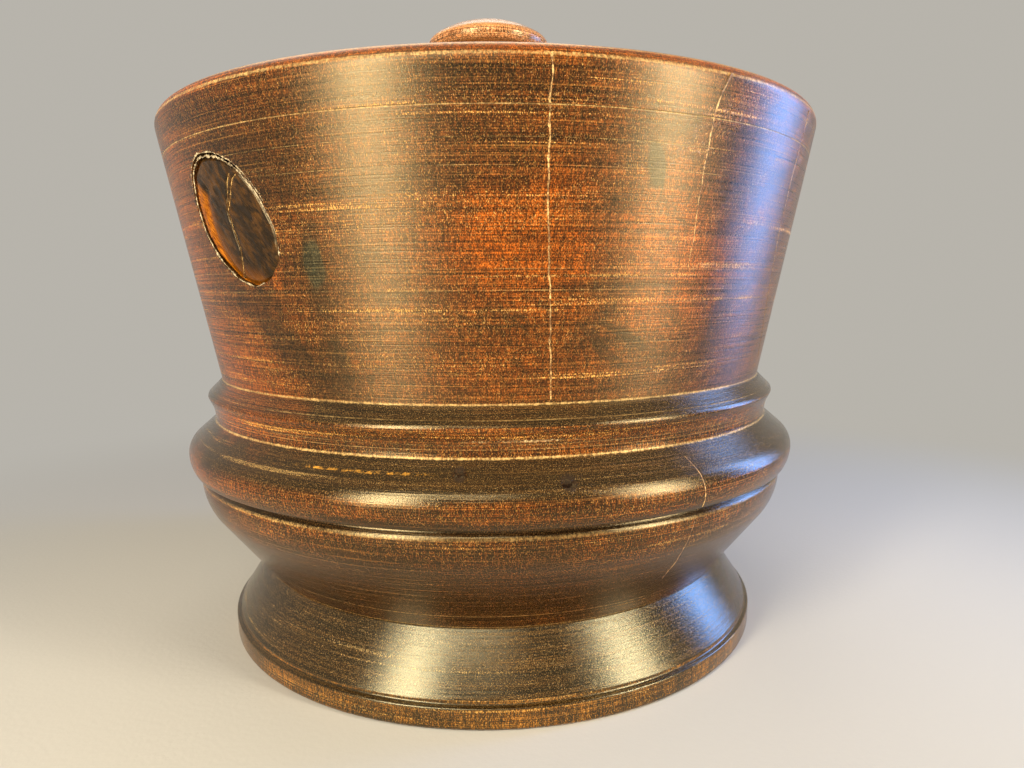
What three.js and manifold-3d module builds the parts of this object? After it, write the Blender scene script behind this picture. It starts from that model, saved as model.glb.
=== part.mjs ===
// Turned wooden tobacco jar: a flaring bowl on a moulded waist and a separate foot, a dead knot
// in its wall, a tinned liner, a loose disc that keeps the tobacco pressed down, and an inset lid.
// Millimetres, +Z up. The origin is the centre of the foot's base, and the front faces -Y.

import * as THREE from 'three';
import { mergeVertices } from 'three/addons/utils/BufferGeometryUtils.js';
import Module from 'manifold-3d';

const wasm = await Module();
wasm.setup();

// Overall sizes
const rimRadius = 75;
const bodyHeight = 115;

// Foot: a vertical band, a fine groove and a slope up to the joint under the bowl
const footHeight = 16;
const footSpread = 7.6;
const footBand = 4.4;
const footGrooveDepth = 1;
const footGrooveHeight = 1;
const footGrooveLip = 0.35;
const footSlopeHollow = 0.25;
const footEdge = 0.6;
const footDishDepth = 2.2;
const footDishRim = 13;
const footFloor = 5;

// Spigot under the bowl that is glued into the foot
const spigotRadius = 42;
const glueGap = 0.3;

// Waist: the bowl swells to a ridge, a groove parts it from a broad torus, and a neck and a
// bead lead to the cone. Each radius stands proud of the neck, each height adds to the last.
const coneSpread = 8.8;
const bowlTuck = 9.6;
const bowlHeight = 21.5;
const bowlArc = 12;
const bowlTopAngle = -4;
const ridgeProud = 3.55;
const ridgeEdge = 1.3;
const ridgeLowAngle = 5;
const ridgeHighAngle = 50;
const grooveDepth = 0.8;
const grooveHeight = 1.1;
const grooveLip = 0.3;
const torusProud = 5.9;
const torusRise = 5;
const torusLowerArc = 7;
const torusUpperArc = 4.2;
const torusUpperAngle = 15;
const torusShoulder = 7;
const neckHeight = 0.9;
const beadProud = 1.3;
const beadRise = 4.3;
const beadArc = 1.2;
const beadUnderAngle = 36;
const beadBevel = 3.6;
const coneTuck = 1.9;

// Rim, lid seat and bore
const rimOuterArc = 2.8;
const rimInnerArc = 0.9;
const rimWall = 6.5;
const seatDepth = 9;
const wall = 9.2;
const floorThickness = 10;
const floorArc = 3;

// Dead knot in the wall: an oval plug that narrows towards the middle of the log
const knotLong = 25.6;
const knotWide = 18.4;
const knotLean = 47;
const knotAzimuth = -40.5;
const knotBelowRim = 24;
const knotTaper = 0.82;
const knotBacking = 3;
const knotSink = 0.35;

// Tinned liner
const linerSheet = 1;
const linerGap = 0.3;
const linerLip = 0.6;
const linerCorner = 3;

// Lid
const lidClearance = 0.4;
const lidEdgeHeight = 5.5;
const lidEdgeArc = 1.4;
const lidLandWidth = 5;
const lidBeadRadius = 2.2;
const lidBeadTurn = 150;
const lidDomeFootRise = 0.73;
const lidDomeRise = 9.5;
const lidPadMargin = 2;
const lidSpigotClearance = 0.6;
const lidSpigotDepth = 4.5;
const lidSpigotWidth = 7;
const lidSpigotChamfer = 1;
const lidRecess = 3.5;

// Lid knob
const knobRadius = 14.5;
const knobHeight = 21;
const knobDomeRadius = 25;
const knobShoulderArc = 2;
const knobNeckRadius = 6;
const knobBaseRadius = 10.5;
const knobBaseHeight = 2.4;
const knobTenonRadius = 5;
const knobFillet = 1;
const knobUnderAngle = -60;

// Presser and its knob
const presserClearance = 1.2;
const presserThickness = 8;
const presserEdgeArc = 2;
const presserLandWidth = 8;
const presserStep = 1.6;
const presserKnobRadius = 10;
const presserKnobHeight = 16;
const presserNeckRadius = 4.6;
const presserKnobBase = 7.5;
const presserTenonRadius = 4;
const presserTenonDepth = 5;

// Facets round each turned piece and round the knot
const wideFacets = 64;
const innerFacets = 48;
const smallFacets = 24;
const knotFacets = 40;

// Steps along an arc of an outline: a long sweep, a moulding, a corner and a small edge
const sweepSteps = 5;
const mouldingSteps = 4;
const cornerSteps = 3;
const edgeSteps = 2;

// Points of a three.js geometry closer than this are one point
const mergeDistance = 1e-4;

// Heights and radii worked out from the sizes above
const neckRadius = rimRadius - coneSpread;
const jointRadius = neckRadius - bowlTuck;
const footRadius = jointRadius + footSpread;
const ridgeRadius = neckRadius + ridgeProud;
const torusRadius = neckRadius + torusProud;
const beadRadius = neckRadius + beadProud;
const coneFootRadius = neckRadius - coneTuck;
const ridgeZ = footHeight + bowlHeight;
const grooveZ = ridgeZ + grooveHeight;
const torusZ = grooveZ + torusRise;
const neckZ = torusZ + torusShoulder;
const beadZ = neckZ + neckHeight + beadRise;
const coneZ = beadZ + beadBevel;
const floorZ = footHeight + floorThickness;
const seatZ = bodyHeight - seatDepth;
const boreRadius = neckRadius - wall;
const seatRadius = rimRadius - rimWall;
const linerInner = boreRadius - linerGap - linerSheet;
const linerFloorZ = floorZ + linerSheet;
const lidTopZ = seatZ + lidEdgeHeight + lidDomeRise;
const presserTopZ = linerFloorZ + presserThickness;

const degrees = (radians) => radians * 180 / Math.PI;
const point = (r, z) => new THREE.Vector2(r, z);

// Points on an arc in the plane of radius and height, from one angle to another, in degrees.
function arc(r, z, radius, from, to, steps) {
  const points = [];
  for (let i = 0; i <= steps; i += 1) {
    const angle = THREE.MathUtils.degToRad(from + (to - from) * i / steps);
    points.push(point(r + radius * Math.cos(angle), z + radius * Math.sin(angle)));
  }
  return points;
}

// The angle at which a straight line from a point touches a circle, on its outer side. The line
// comes from below the circle when side is -1, and from above it when side is 1.
function touchAngle(fromR, fromZ, r, z, radius, side) {
  const towards = Math.atan2(z - fromZ, r - fromR);
  const spread = Math.asin(radius / Math.hypot(r - fromR, z - fromZ));
  return degrees(towards + side * (spread + Math.PI / 2));
}

// A cove: an arc that starts upright at (r, z) and curls outwards by reach over height.
function cove(r, z, reach, height, steps) {
  const radius = (reach * reach + height * height) / (2 * reach);
  const turn = degrees(Math.asin(height / radius));
  return arc(r + radius, z, radius, 180, 180 - turn, steps);
}

// A solid of revolution about the vertical axis, from an outline of radius and height.
function turned(outline, facets) {
  const geometry = new THREE.LatheGeometry(outline, facets);
  geometry.rotateX(Math.PI / 2);
  return toSolid(geometry);
}

// A closed geometry as a solid that can be joined and cut.
function toSolid(geometry) {
  const bare = geometry.clone();
  bare.deleteAttribute('normal');
  bare.deleteAttribute('uv');
  const merged = mergeVertices(bare, mergeDistance);
  const triangles = [];
  for (let i = 0; i < merged.index.count; i += 3) {
    const [a, b, c] = [0, 1, 2].map((k) => merged.index.getX(i + k));
    if (a !== b && b !== c && c !== a) {
      triangles.push(a, b, c);
    }
  }
  return new wasm.Manifold(new wasm.Mesh({
    numProp: 3,
    vertProperties: new Float32Array(merged.attributes.position.array),
    triVerts: new Uint32Array(triangles),
  }));
}

// A solid as a named mesh with its own finish.
function toMesh(name, solid, finish) {
  const { vertProperties, triVerts } = solid.getMesh();
  const geometry = new THREE.BufferGeometry();
  geometry.setAttribute('position', new THREE.BufferAttribute(vertProperties, 3));
  geometry.setIndex(new THREE.BufferAttribute(triVerts, 1));
  geometry.computeVertexNormals();
  const mesh = new THREE.Mesh(geometry, new THREE.MeshStandardMaterial(finish));
  mesh.name = name;
  return mesh;
}

const redWood = { color: 0x6b2c12, roughness: 0.32, metalness: 0 };
const oliveWood = { color: 0x5e4620, roughness: 0.34, metalness: 0 };
const knotWood = { color: 0x3a1c0a, roughness: 0.3, metalness: 0 };
const knobWood = { color: 0x8a4a22, roughness: 0.3, metalness: 0 };
const tin = { color: 0x8d8f8c, roughness: 0.45, metalness: 1 };

// Radius of the cone's outer face at a height.
const coneSlope = (rimRadius - coneFootRadius) / (bodyHeight - coneZ);
const coneRadius = (z) => coneFootRadius + coneSlope * (z - coneZ);

// Outer face of the bowl, from its joint with the foot up to the foot of the cone.
function waistOutline() {
  const bowlR = ridgeRadius - bowlArc;
  const lowerR = torusRadius - torusLowerArc;
  const upperR = torusRadius - torusUpperArc;
  const edgeR = beadRadius - beadArc;
  const bowlTouch = touchAngle(jointRadius, footHeight, bowlR, ridgeZ, bowlArc, -1);
  const lowerStart = -degrees(Math.asin((torusRise - grooveLip) / torusLowerArc));
  const shoulderTouch = touchAngle(neckRadius, neckZ, upperR, torusZ, torusUpperArc, 1);
  const bevelTouch = touchAngle(coneFootRadius, coneZ, edgeR, beadZ, beadArc, 1);
  const under = THREE.MathUtils.degToRad(beadUnderAngle);
  const coveTop = beadZ - beadArc * Math.sin(under);
  const coveReach = beadProud - beadArc * (1 - Math.cos(under));
  return [
    point(jointRadius, footHeight),
    ...arc(bowlR, ridgeZ, bowlArc, bowlTouch, bowlTopAngle, sweepSteps),
    ...arc(ridgeRadius - ridgeEdge, ridgeZ, ridgeEdge, ridgeLowAngle, ridgeHighAngle, edgeSteps),
    point(ridgeRadius - grooveDepth, grooveZ),
    ...arc(lowerR, torusZ, torusLowerArc, lowerStart, 0, sweepSteps),
    ...arc(upperR, torusZ, torusUpperArc, torusUpperAngle, shoulderTouch, cornerSteps),
    point(neckRadius, neckZ),
    ...cove(neckRadius, neckZ + neckHeight, coveReach, coveTop - neckZ - neckHeight, cornerSteps),
    ...arc(edgeR, beadZ, beadArc, 0, bevelTouch, edgeSteps),
    point(coneFootRadius, coneZ),
  ];
}

// The rim: the cone's face rolls over the top and down into the lid's seat.
function rimOutline() {
  const tilt = Math.atan(coneSlope);
  const rollZ = bodyHeight - rimOuterArc;
  const rollR = coneRadius(rollZ) - rimOuterArc / Math.cos(tilt);
  return [
    ...arc(rollR, rollZ, rimOuterArc, -degrees(tilt), 90, sweepSteps),
    ...arc(seatRadius + rimInnerArc, bodyHeight - rimInnerArc, rimInnerArc, 90, 180, cornerSteps),
    point(seatRadius, seatZ),
  ];
}

// The oval plug of the knot, out from its backing to beyond the wall, grown by a gap.
function knotPlug(gap) {
  const height = bodyHeight - knotBelowRim;
  const azimuth = THREE.MathUtils.degToRad(knotAzimuth);
  const lean = THREE.MathUtils.degToRad(knotLean);
  const outwards = new THREE.Vector3(Math.sin(azimuth), -Math.cos(azimuth), 0);
  const sideways = new THREE.Vector3(Math.cos(azimuth), Math.sin(azimuth), 0);
  const upright = new THREE.Vector3(0, 0, Math.sin(lean));
  const along = sideways.multiplyScalar(-Math.cos(lean)).add(upright);
  const inner = boreRadius + knotBacking - gap;
  const outer = Math.max(rimRadius, torusRadius) + rimOuterArc;
  const faceDepth = (coneRadius(height) - inner) / (outer - inner);
  const outerScale = knotTaper + (1 - knotTaper) / faceDepth;
  const plug = new THREE.CylinderGeometry(outerScale, knotTaper, outer - inner, knotFacets);
  plug.scale(knotLong / 2 + gap, 1, knotWide / 2 + gap);
  const across = new THREE.Vector3().crossVectors(along, outwards);
  plug.applyMatrix4(new THREE.Matrix4().makeBasis(along, outwards, across));
  const middle = outwards.multiplyScalar((inner + outer) / 2);
  plug.translate(middle.x, middle.y, height);
  return toSolid(plug);
}

// Bowl, waist and cone in one piece, bored for the tobacco and stepped for the lid.
function jarBody() {
  const socketTop = footFloor + footDishDepth + glueGap;
  const blank = turned([
    point(0, socketTop),
    point(spigotRadius, socketTop),
    point(spigotRadius, footHeight),
    ...waistOutline(),
    ...rimOutline(),
    point(boreRadius, seatZ),
    ...arc(boreRadius - floorArc, floorZ + floorArc, floorArc, 0, -90, edgeSteps),
    point(0, floorZ),
  ], wideFacets);
  return blank.subtract(knotPlug(glueGap));
}

// The knot's face follows the cone, and has dried to lie a little below it.
function knot() {
  const cone = turned([
    point(0, coneZ),
    point(coneFootRadius - knotSink, coneZ),
    point(rimRadius - knotSink, bodyHeight),
    point(0, bodyHeight),
  ], wideFacets);
  return knotPlug(0).intersect(cone);
}

// Foot: turned apart from the bowl, with a blind socket above and a shallow dish below.
function foot() {
  const socket = spigotRadius + glueGap;
  const slopeFoot = point(footRadius - footGrooveDepth, footBand + footGrooveHeight);
  const slopeTop = point(jointRadius, footHeight);
  const slopePull = slopeTop.clone().add(slopeFoot).multiplyScalar(0.5);
  slopePull.x -= 2 * footSlopeHollow;
  const slope = new THREE.QuadraticBezierCurve(slopeFoot, slopePull, slopeTop);
  return turned([
    point(0, footDishDepth),
    point(footRadius - footDishRim - 2 * footDishDepth, footDishDepth),
    point(footRadius - footDishRim, 0),
    point(footRadius - footEdge, 0),
    point(footRadius, footEdge),
    point(footRadius, footBand),
    point(footRadius - footGrooveDepth, footBand + footGrooveLip),
    ...slope.getPoints(mouldingSteps),
    point(socket, footHeight),
    point(socket, footFloor + footDishDepth),
    point(0, footFloor + footDishDepth),
  ], wideFacets);
}

// Liner: a cup of tinned sheet, flush with the lid's seat but for its lip.
function liner() {
  const outer = boreRadius - linerGap;
  const top = seatZ - linerLip;
  const outerCorner = linerCorner + linerSheet;
  return turned([
    point(0, floorZ),
    ...arc(outer - outerCorner, floorZ + outerCorner, outerCorner, -90, 0, mouldingSteps),
    point(outer, top),
    point(linerInner, top),
    ...arc(linerInner - linerCorner, linerFloorZ + linerCorner, linerCorner, 0, -90, mouldingSteps),
    point(0, linerFloorZ),
  ], innerFacets);
}

// Lid: a flat edge that sits in the rim, a bead, a low dome, and a spigot under it that is
// hollowed out, with a hole through the middle for the knob's tenon.
function lid() {
  const edge = seatRadius - lidClearance;
  const edgeTop = seatZ + lidEdgeHeight;
  const spigot = linerInner - lidSpigotClearance;
  const spigotZ = seatZ - lidSpigotDepth;
  const beadMiddle = edge - lidLandWidth - lidBeadRadius;
  const domeFoot = beadMiddle - lidBeadRadius;
  const pad = knobBaseRadius + lidPadMargin;
  const domeZ = edgeTop + lidDomeFootRise;
  const domeReach = domeFoot - pad;
  const domeHeight = lidTopZ - domeZ;
  const domeRadius = (domeReach * domeReach + domeHeight * domeHeight) / (2 * domeHeight);
  const domeAngle = degrees(Math.asin(domeReach / domeRadius));
  const hole = knobTenonRadius + glueGap;
  return turned([
    point(hole, spigotZ + lidRecess),
    point(spigot - lidSpigotWidth - lidRecess, spigotZ + lidRecess),
    ...arc(spigot - lidSpigotWidth - lidRecess, spigotZ, lidRecess, 90, 0, cornerSteps),
    point(spigot - lidSpigotChamfer, spigotZ),
    point(spigot, spigotZ + lidSpigotChamfer),
    point(spigot, seatZ),
    point(edge, seatZ),
    ...arc(edge - lidEdgeArc, edgeTop - lidEdgeArc, lidEdgeArc, 0, 90, cornerSteps),
    ...arc(beadMiddle, edgeTop, lidBeadRadius, 0, lidBeadTurn, mouldingSteps),
    ...arc(pad, lidTopZ - domeRadius, domeRadius, 90 - domeAngle, 90, sweepSteps),
    point(hole, lidTopZ),
    point(hole, spigotZ + lidRecess),
  ], innerFacets);
}

// A turned button knob: a tenon, a moulded base, a waisted neck and a flat dome.
function knob(size, seat, facets) {
  const top = seat + size.height;
  const shoulderR = size.radius - size.shoulderArc;
  const domeFoot = Math.asin(shoulderR / (size.domeRadius - size.shoulderArc));
  const domeZ = top - size.domeRadius;
  const shoulderZ = domeZ + (size.domeRadius - size.shoulderArc) * Math.cos(domeFoot);
  const neckZ = seat + size.baseHeight;
  const under = shoulderZ - size.shoulderArc - neckZ;
  const reach = size.radius - size.neckRadius - size.shoulderArc;
  const rise = 90 - degrees(domeFoot);
  return turned([
    point(0, seat - size.tenonDepth),
    point(size.tenonRadius, seat - size.tenonDepth),
    point(size.tenonRadius, seat),
    ...arc(size.baseRadius - size.baseHeight / 2, seat + size.baseHeight / 2,
      size.baseHeight / 2, -90, 90, mouldingSteps),
    point(size.neckRadius + knobFillet, neckZ),
    ...cove(size.neckRadius, neckZ + knobFillet, reach, under - knobFillet, mouldingSteps),
    ...arc(shoulderR, shoulderZ, size.shoulderArc, knobUnderAngle, rise, mouldingSteps),
    ...arc(0, domeZ, size.domeRadius, rise, 90, mouldingSteps).slice(1),
  ], facets);
}

const lidKnobSize = {
  radius: knobRadius,
  height: knobHeight,
  domeRadius: knobDomeRadius,
  shoulderArc: knobShoulderArc,
  neckRadius: knobNeckRadius,
  baseRadius: knobBaseRadius,
  baseHeight: knobBaseHeight,
  tenonRadius: knobTenonRadius,
  tenonDepth: lidTopZ - seatZ + lidSpigotDepth - lidRecess,
};

const presserKnobSize = {
  radius: presserKnobRadius,
  height: presserKnobHeight,
  domeRadius: knobDomeRadius,
  shoulderArc: knobShoulderArc,
  neckRadius: presserNeckRadius,
  baseRadius: presserKnobBase,
  baseHeight: knobBaseHeight,
  tenonRadius: presserTenonRadius,
  tenonDepth: presserTenonDepth,
};

// Presser: a loose disc with a rounded edge, stepped down from its middle to a flat land.
function presser() {
  const edge = linerInner - presserClearance;
  const land = presserTopZ - presserStep;
  const hole = presserTenonRadius + glueGap;
  return turned([
    point(0, linerFloorZ),
    ...arc(edge - linerCorner, linerFloorZ + linerCorner, linerCorner, -90, 0, cornerSteps),
    ...arc(edge - presserEdgeArc, land - presserEdgeArc, presserEdgeArc, 0, 90, cornerSteps),
    point(edge - presserLandWidth, land),
    point(edge - presserLandWidth - presserStep, presserTopZ),
    point(hole, presserTopZ),
    point(hole, presserTopZ - presserTenonDepth - glueGap),
    point(0, presserTopZ - presserTenonDepth - glueGap),
  ], innerFacets);
}

const jar = new THREE.Group();
jar.add(
  toMesh('foot', foot(), oliveWood),
  toMesh('jar_body', jarBody(), redWood),
  toMesh('knot', knot(), knotWood),
  toMesh('liner', liner(), tin),
  toMesh('presser', presser(), redWood),
  toMesh('presser_knob', knob(presserKnobSize, presserTopZ, smallFacets), knobWood),
  toMesh('lid', lid(), redWood),
  toMesh('lid_knob', knob(lidKnobSize, lidTopZ, smallFacets), knobWood),
);

export default jar;
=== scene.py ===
import math

import bpy
from mathutils import Matrix, Vector, noise


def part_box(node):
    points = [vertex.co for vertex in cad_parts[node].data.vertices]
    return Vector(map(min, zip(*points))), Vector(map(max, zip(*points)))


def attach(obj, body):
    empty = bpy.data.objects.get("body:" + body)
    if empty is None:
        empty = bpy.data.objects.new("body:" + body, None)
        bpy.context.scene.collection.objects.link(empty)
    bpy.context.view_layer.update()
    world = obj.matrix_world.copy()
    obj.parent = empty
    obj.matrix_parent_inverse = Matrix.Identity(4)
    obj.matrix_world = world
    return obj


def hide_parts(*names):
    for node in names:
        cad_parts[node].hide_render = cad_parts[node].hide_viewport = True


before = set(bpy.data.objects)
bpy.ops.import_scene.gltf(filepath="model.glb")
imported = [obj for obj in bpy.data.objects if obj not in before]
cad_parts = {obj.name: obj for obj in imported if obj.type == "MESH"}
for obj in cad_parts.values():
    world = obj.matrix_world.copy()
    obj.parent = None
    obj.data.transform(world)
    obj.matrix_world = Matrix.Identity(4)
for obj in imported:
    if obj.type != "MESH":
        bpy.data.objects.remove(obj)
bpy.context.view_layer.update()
MM = 0.001

# Camera
# A wide lens close in front of the jar and level with its cone, tipped a little down.
LENS = 25.31
SENSOR = 36
CAMERA_DISTANCE = 183.9
CAMERA_HEIGHT = 79
LOOK_DOWN = 7.61
LOOK_RIGHT = 1.57
CAMERA_ROLL = -0.46
NEAREST = 5

bpy.ops.object.select_all(action="DESELECT")
bpy.ops.object.camera_add()
camera = bpy.context.object
camera.name = "camera"
camera.data.lens = LENS
camera.data.sensor_width = SENSOR
camera.data.clip_start = NEAREST * MM
camera.matrix_world = (
    Matrix.Translation((0, -CAMERA_DISTANCE * MM, CAMERA_HEIGHT * MM))
    @ Matrix.Rotation(math.radians(-LOOK_RIGHT), 4, "Z")
    @ Matrix.Rotation(math.radians(90 - LOOK_DOWN), 4, "X")
    @ Matrix.Rotation(math.radians(CAMERA_ROLL), 4, "Z")
)
bpy.context.scene.camera = camera
bpy.context.scene.view_settings.view_transform = "Standard"


# Studio
# A seamless pale sweep: the floor runs back and curves up into the backdrop. Away from the jar it
# shows as evenly lit to the camera and in reflections. Sizes of the sweep are in metres.
FLOOR_HALF = 1.6
SWEEP_BACK = 1.1
SWEEP_CURVE = 0.35
SWEEP_HEIGHT = 1.6
SWEEP_STEPS = 12
SWEEP_COLOUR = (0.53, 0.505, 0.455, 1)
PAPER_ROUGHNESS = 0.9
PAPER_GRAIN = 900
EVEN_FROM = 0.08
EVEN_BEYOND = 0.3
BACKDROP_LIGHT = 0.9


def wire(node, inputs):
    """Fills a shader node's inputs: a socket is linked, and any other value is set."""
    for key, value in inputs.items():
        if isinstance(value, bpy.types.NodeSocket):
            node.id_data.links.new(value, node.inputs[key])
        else:
            node.inputs[key].default_value = value
    return node


def place_node(kind, inputs, tree=None, **settings):
    """Adds a shader node with its settings, where its inputs come from unless a tree is given."""
    if tree is None:
        tree = next(value.id_data for value in inputs.values() if isinstance(value, bpy.types.NodeSocket))
    made = tree.nodes.new("ShaderNode" + kind)
    for key, value in settings.items():
        setattr(made, key, value)
    return wire(made, inputs)


def calc(operation, *values):
    """A Math node on sockets or numbers. Returns its result."""
    return place_node("Math", dict(enumerate(values)), operation=operation).outputs[0]


def times(value, *factors):
    """The product of several values."""
    for factor in factors:
        value = calc("MULTIPLY", value, factor)
    return value


def plus(value, *others):
    """The sum of several values."""
    for other in others:
        value = calc("ADD", value, other)
    return value


def ramp(value, low, high, bottom=0, top=1):
    """A smooth step of a value between two limits. Returns its result."""
    inputs = {"Value": value, "From Min": low, "From Max": high, "To Min": bottom, "To Max": top}
    return place_node("MapRange", inputs, interpolation_type="SMOOTHSTEP").outputs[0]


def vector_calc(operation, *values):
    """A Vector Math node. Returns its outputs: a vector first, and Value."""
    return place_node("VectorMath", dict(enumerate(values)), operation=operation).outputs


def plain_material(name, colour, roughness):
    """A material with one Principled shader. Returns it, the shader and its coordinates."""
    material = bpy.data.materials.new(name)
    material.use_nodes = True
    tree = material.node_tree
    shader = wire(tree.nodes["Principled BSDF"], {"Base Color": colour, "Roughness": roughness})
    return material, shader, place_node("TexCoord", {}, tree).outputs


def pale_where_seen(lit, pale, share=1):
    """Mixes a pale shader over a lit one for camera, mirrored and transmitted rays."""
    ray = place_node("LightPath", {}, lit.id_data).outputs
    seen = calc("MAXIMUM", ray["Is Camera Ray"], ray["Is Glossy Ray"])
    seen = times(calc("MAXIMUM", seen, ray["Is Transmission Ray"]), share)
    inputs = {0: seen, 1: lit.outputs[0], 2: pale.outputs[0]}
    return place_node("MixShader", inputs).outputs[0]


bpy.ops.mesh.primitive_plane_add(size=2 * FLOOR_HALF)
sweep = bpy.context.object
sweep.name = "sweep"
bpy.ops.object.mode_set(mode="EDIT")
bpy.ops.mesh.select_mode(type="EDGE")
bpy.ops.mesh.select_all(action="DESELECT")
bpy.ops.object.mode_set(mode="OBJECT")
for edge in sweep.data.edges:
    edge.select = min(sweep.data.vertices[i].co.y for i in edge.vertices) > 0
bpy.ops.object.mode_set(mode="EDIT")
bpy.ops.transform.translate(value=(0, SWEEP_BACK - FLOOR_HALF, 0))
for step in range(SWEEP_STEPS):
    angle = math.radians(90 * (step + 0.5) / SWEEP_STEPS)
    chord = 2 * SWEEP_CURVE * math.sin(math.radians(90 / SWEEP_STEPS / 2))
    bpy.ops.mesh.extrude_edges_move(
        TRANSFORM_OT_translate={"value": (0, chord * math.cos(angle), chord * math.sin(angle))}
    )
bpy.ops.mesh.extrude_edges_move(TRANSFORM_OT_translate={"value": (0, 0, SWEEP_HEIGHT)})
bpy.ops.object.mode_set(mode="OBJECT")
bpy.ops.object.shade_smooth()
paper, shader, coords = plain_material("sweep_paper", SWEEP_COLOUR, PAPER_ROUGHNESS)
paper_grain = place_node("TexNoise", {"Vector": coords["Object"], "Scale": PAPER_GRAIN})
paper_bump = place_node("Bump", {"Height": paper_grain.outputs["Fac"], "Strength": 0.05})
wire(shader, {"Normal": paper_bump.outputs["Normal"]})
far_off = vector_calc("LENGTH", coords["Object"])["Value"]
tree = paper.node_tree
pale = place_node("Emission", {"Color": SWEEP_COLOUR, "Strength": BACKDROP_LIGHT}, tree)
even = pale_where_seen(shader, pale, ramp(far_off, EVEN_FROM, EVEN_BEYOND))
wire(tree.nodes["Material Output"], {"Surface": even})
sweep.data.materials.append(paper)

# Lamps
# Narrow warm soft boxes at the front left and right with faint broad ones under them, a cool one
# at the far right, a strip above the front and a large one high behind. Each has its degrees
# round from the front, degrees up, distance, size, watts and colour.
AIM = (0, 0, 60)
WARM_WHITE = (1, 0.92, 0.75)
WARM_DIM = (1, 0.76, 0.5)
COOL_BLUE = (0.17, 0.38, 1)
SOFT_BOXES = {
    "left_box": (-34, 15, 420, (68, 270), 1.95, WARM_WHITE),
    "left_low_box": (-34, -1, 330, (110, 90), 0.2, WARM_DIM),
    "right_box": (54, 15, 420, (60, 270), 1.85, WARM_WHITE),
    "right_low_box": (52, -1, 330, (130, 90), 0.1, WARM_DIM),
    "cool_box": (100, 13, 450, (80, 290), 1.6, COOL_BLUE),
    "top_box": (-18, 36, 480, (300, 60), 0.8, (1, 0.9, 0.74)),
    "back_box": (195, 56, 900, (700, 500), 2.6, (1, 0.94, 0.84)),
}
WORLD_COLOUR = (0.93, 0.95, 1, 1)
WORLD_LIGHT = 0.1

for name, (azimuth, lift, reach, size, watts, light_colour) in SOFT_BOXES.items():
    turn = math.radians(azimuth)
    rise = math.radians(lift)
    away = Vector((math.sin(turn) * math.cos(rise), -math.cos(turn) * math.cos(rise), math.sin(rise)))
    bpy.ops.object.light_add(type="AREA", location=(Vector(AIM) + away * reach) * MM)
    lamp = bpy.context.object
    lamp.name = name
    lamp.rotation_euler = away.to_track_quat("Z", "Y").to_euler()
    lamp.data.shape = "RECTANGLE"
    lamp.data.size = size[0] * MM
    lamp.data.size_y = size[1] * MM
    lamp.data.energy = watts
    lamp.data.color = light_colour
surround = bpy.data.worlds.new("pale_surround")
surround.use_nodes = True
tree = surround.node_tree
low_light = wire(tree.nodes["Background"], {"Color": WORLD_COLOUR, "Strength": WORLD_LIGHT})
pale = place_node("Background", {"Color": SWEEP_COLOUR, "Strength": BACKDROP_LIGHT}, tree)
wire(tree.nodes["World Output"], {"Surface": pale_where_seen(low_light, pale)})
bpy.context.scene.world = surround


# Foot
# Turned from a block of its own and glued on the bowl's spigot: a vertical band, a fine groove
# and a slope up to the joint. It is hollow underneath.
foot_low, foot_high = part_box("foot")
FOOT_RADIUS = foot_high.x / MM
FOOT_TOP = foot_high.z / MM
FOOT_BAND = 4.4
FOOT_GROOVE = 1
FOOT_EDGE = 0.6
FOOT_DISH = 2.2
FOOT_DISH_RIM = 13
FOOT_FLOOR = 7.2
FOOT_SHOULDER = (3.2, 5.4)
FOOT_EASE = 0.25
JOINT_RADIUS = 56.6
SPIGOT_RADIUS = 42
GLUE_GAP = 0.3
TURN_STEPS = 288
EASE_TURN = 26
SMOOTH_UNDER = 40
WELD = 0.002
ORIGIN = (0, 0, 0)
WAX_IOR = 1.55
WAX_TINT = (1, 0.8, 0.45, 1)
FOOT_WAX_TINT = (1, 0.93, 0.62, 1)


def arc(out, up, radius, start, end, steps):
    """Points on an arc round a point out from the axis and up, with its angles in degrees."""
    turns = [math.radians(start + (end - start) * i / steps) for i in range(steps + 1)]
    return [(out + radius * math.cos(turn), up + radius * math.sin(turn)) for turn in turns]


def drawn_line(name, points):
    """Draws a line point by point, in mm. Returns its object, still in edit mode."""
    bpy.ops.object.select_all(action="DESELECT")
    bpy.ops.mesh.primitive_plane_add(size=MM, location=[c * MM for c in points[0]])
    line = bpy.context.object
    line.name = line.data.name = name
    bpy.ops.object.transform_apply()
    bpy.ops.object.mode_set(mode="EDIT")
    bpy.ops.mesh.select_mode(type="VERT")
    bpy.ops.mesh.merge(type="CENTER")
    for last, here in zip(points, points[1:]):
        move = [(end - start) * MM for start, end in zip(last, here)]
        bpy.ops.mesh.extrude_vertices_move(TRANSFORM_OT_translate={"value": move})
    return line


def face_outwards():
    """Turns every face of the piece that is being edited outwards, and leaves edit mode."""
    bpy.ops.mesh.select_all(action="SELECT")
    bpy.ops.mesh.normals_make_consistent(inside=False)
    bpy.ops.object.mode_set(mode="OBJECT")


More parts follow.
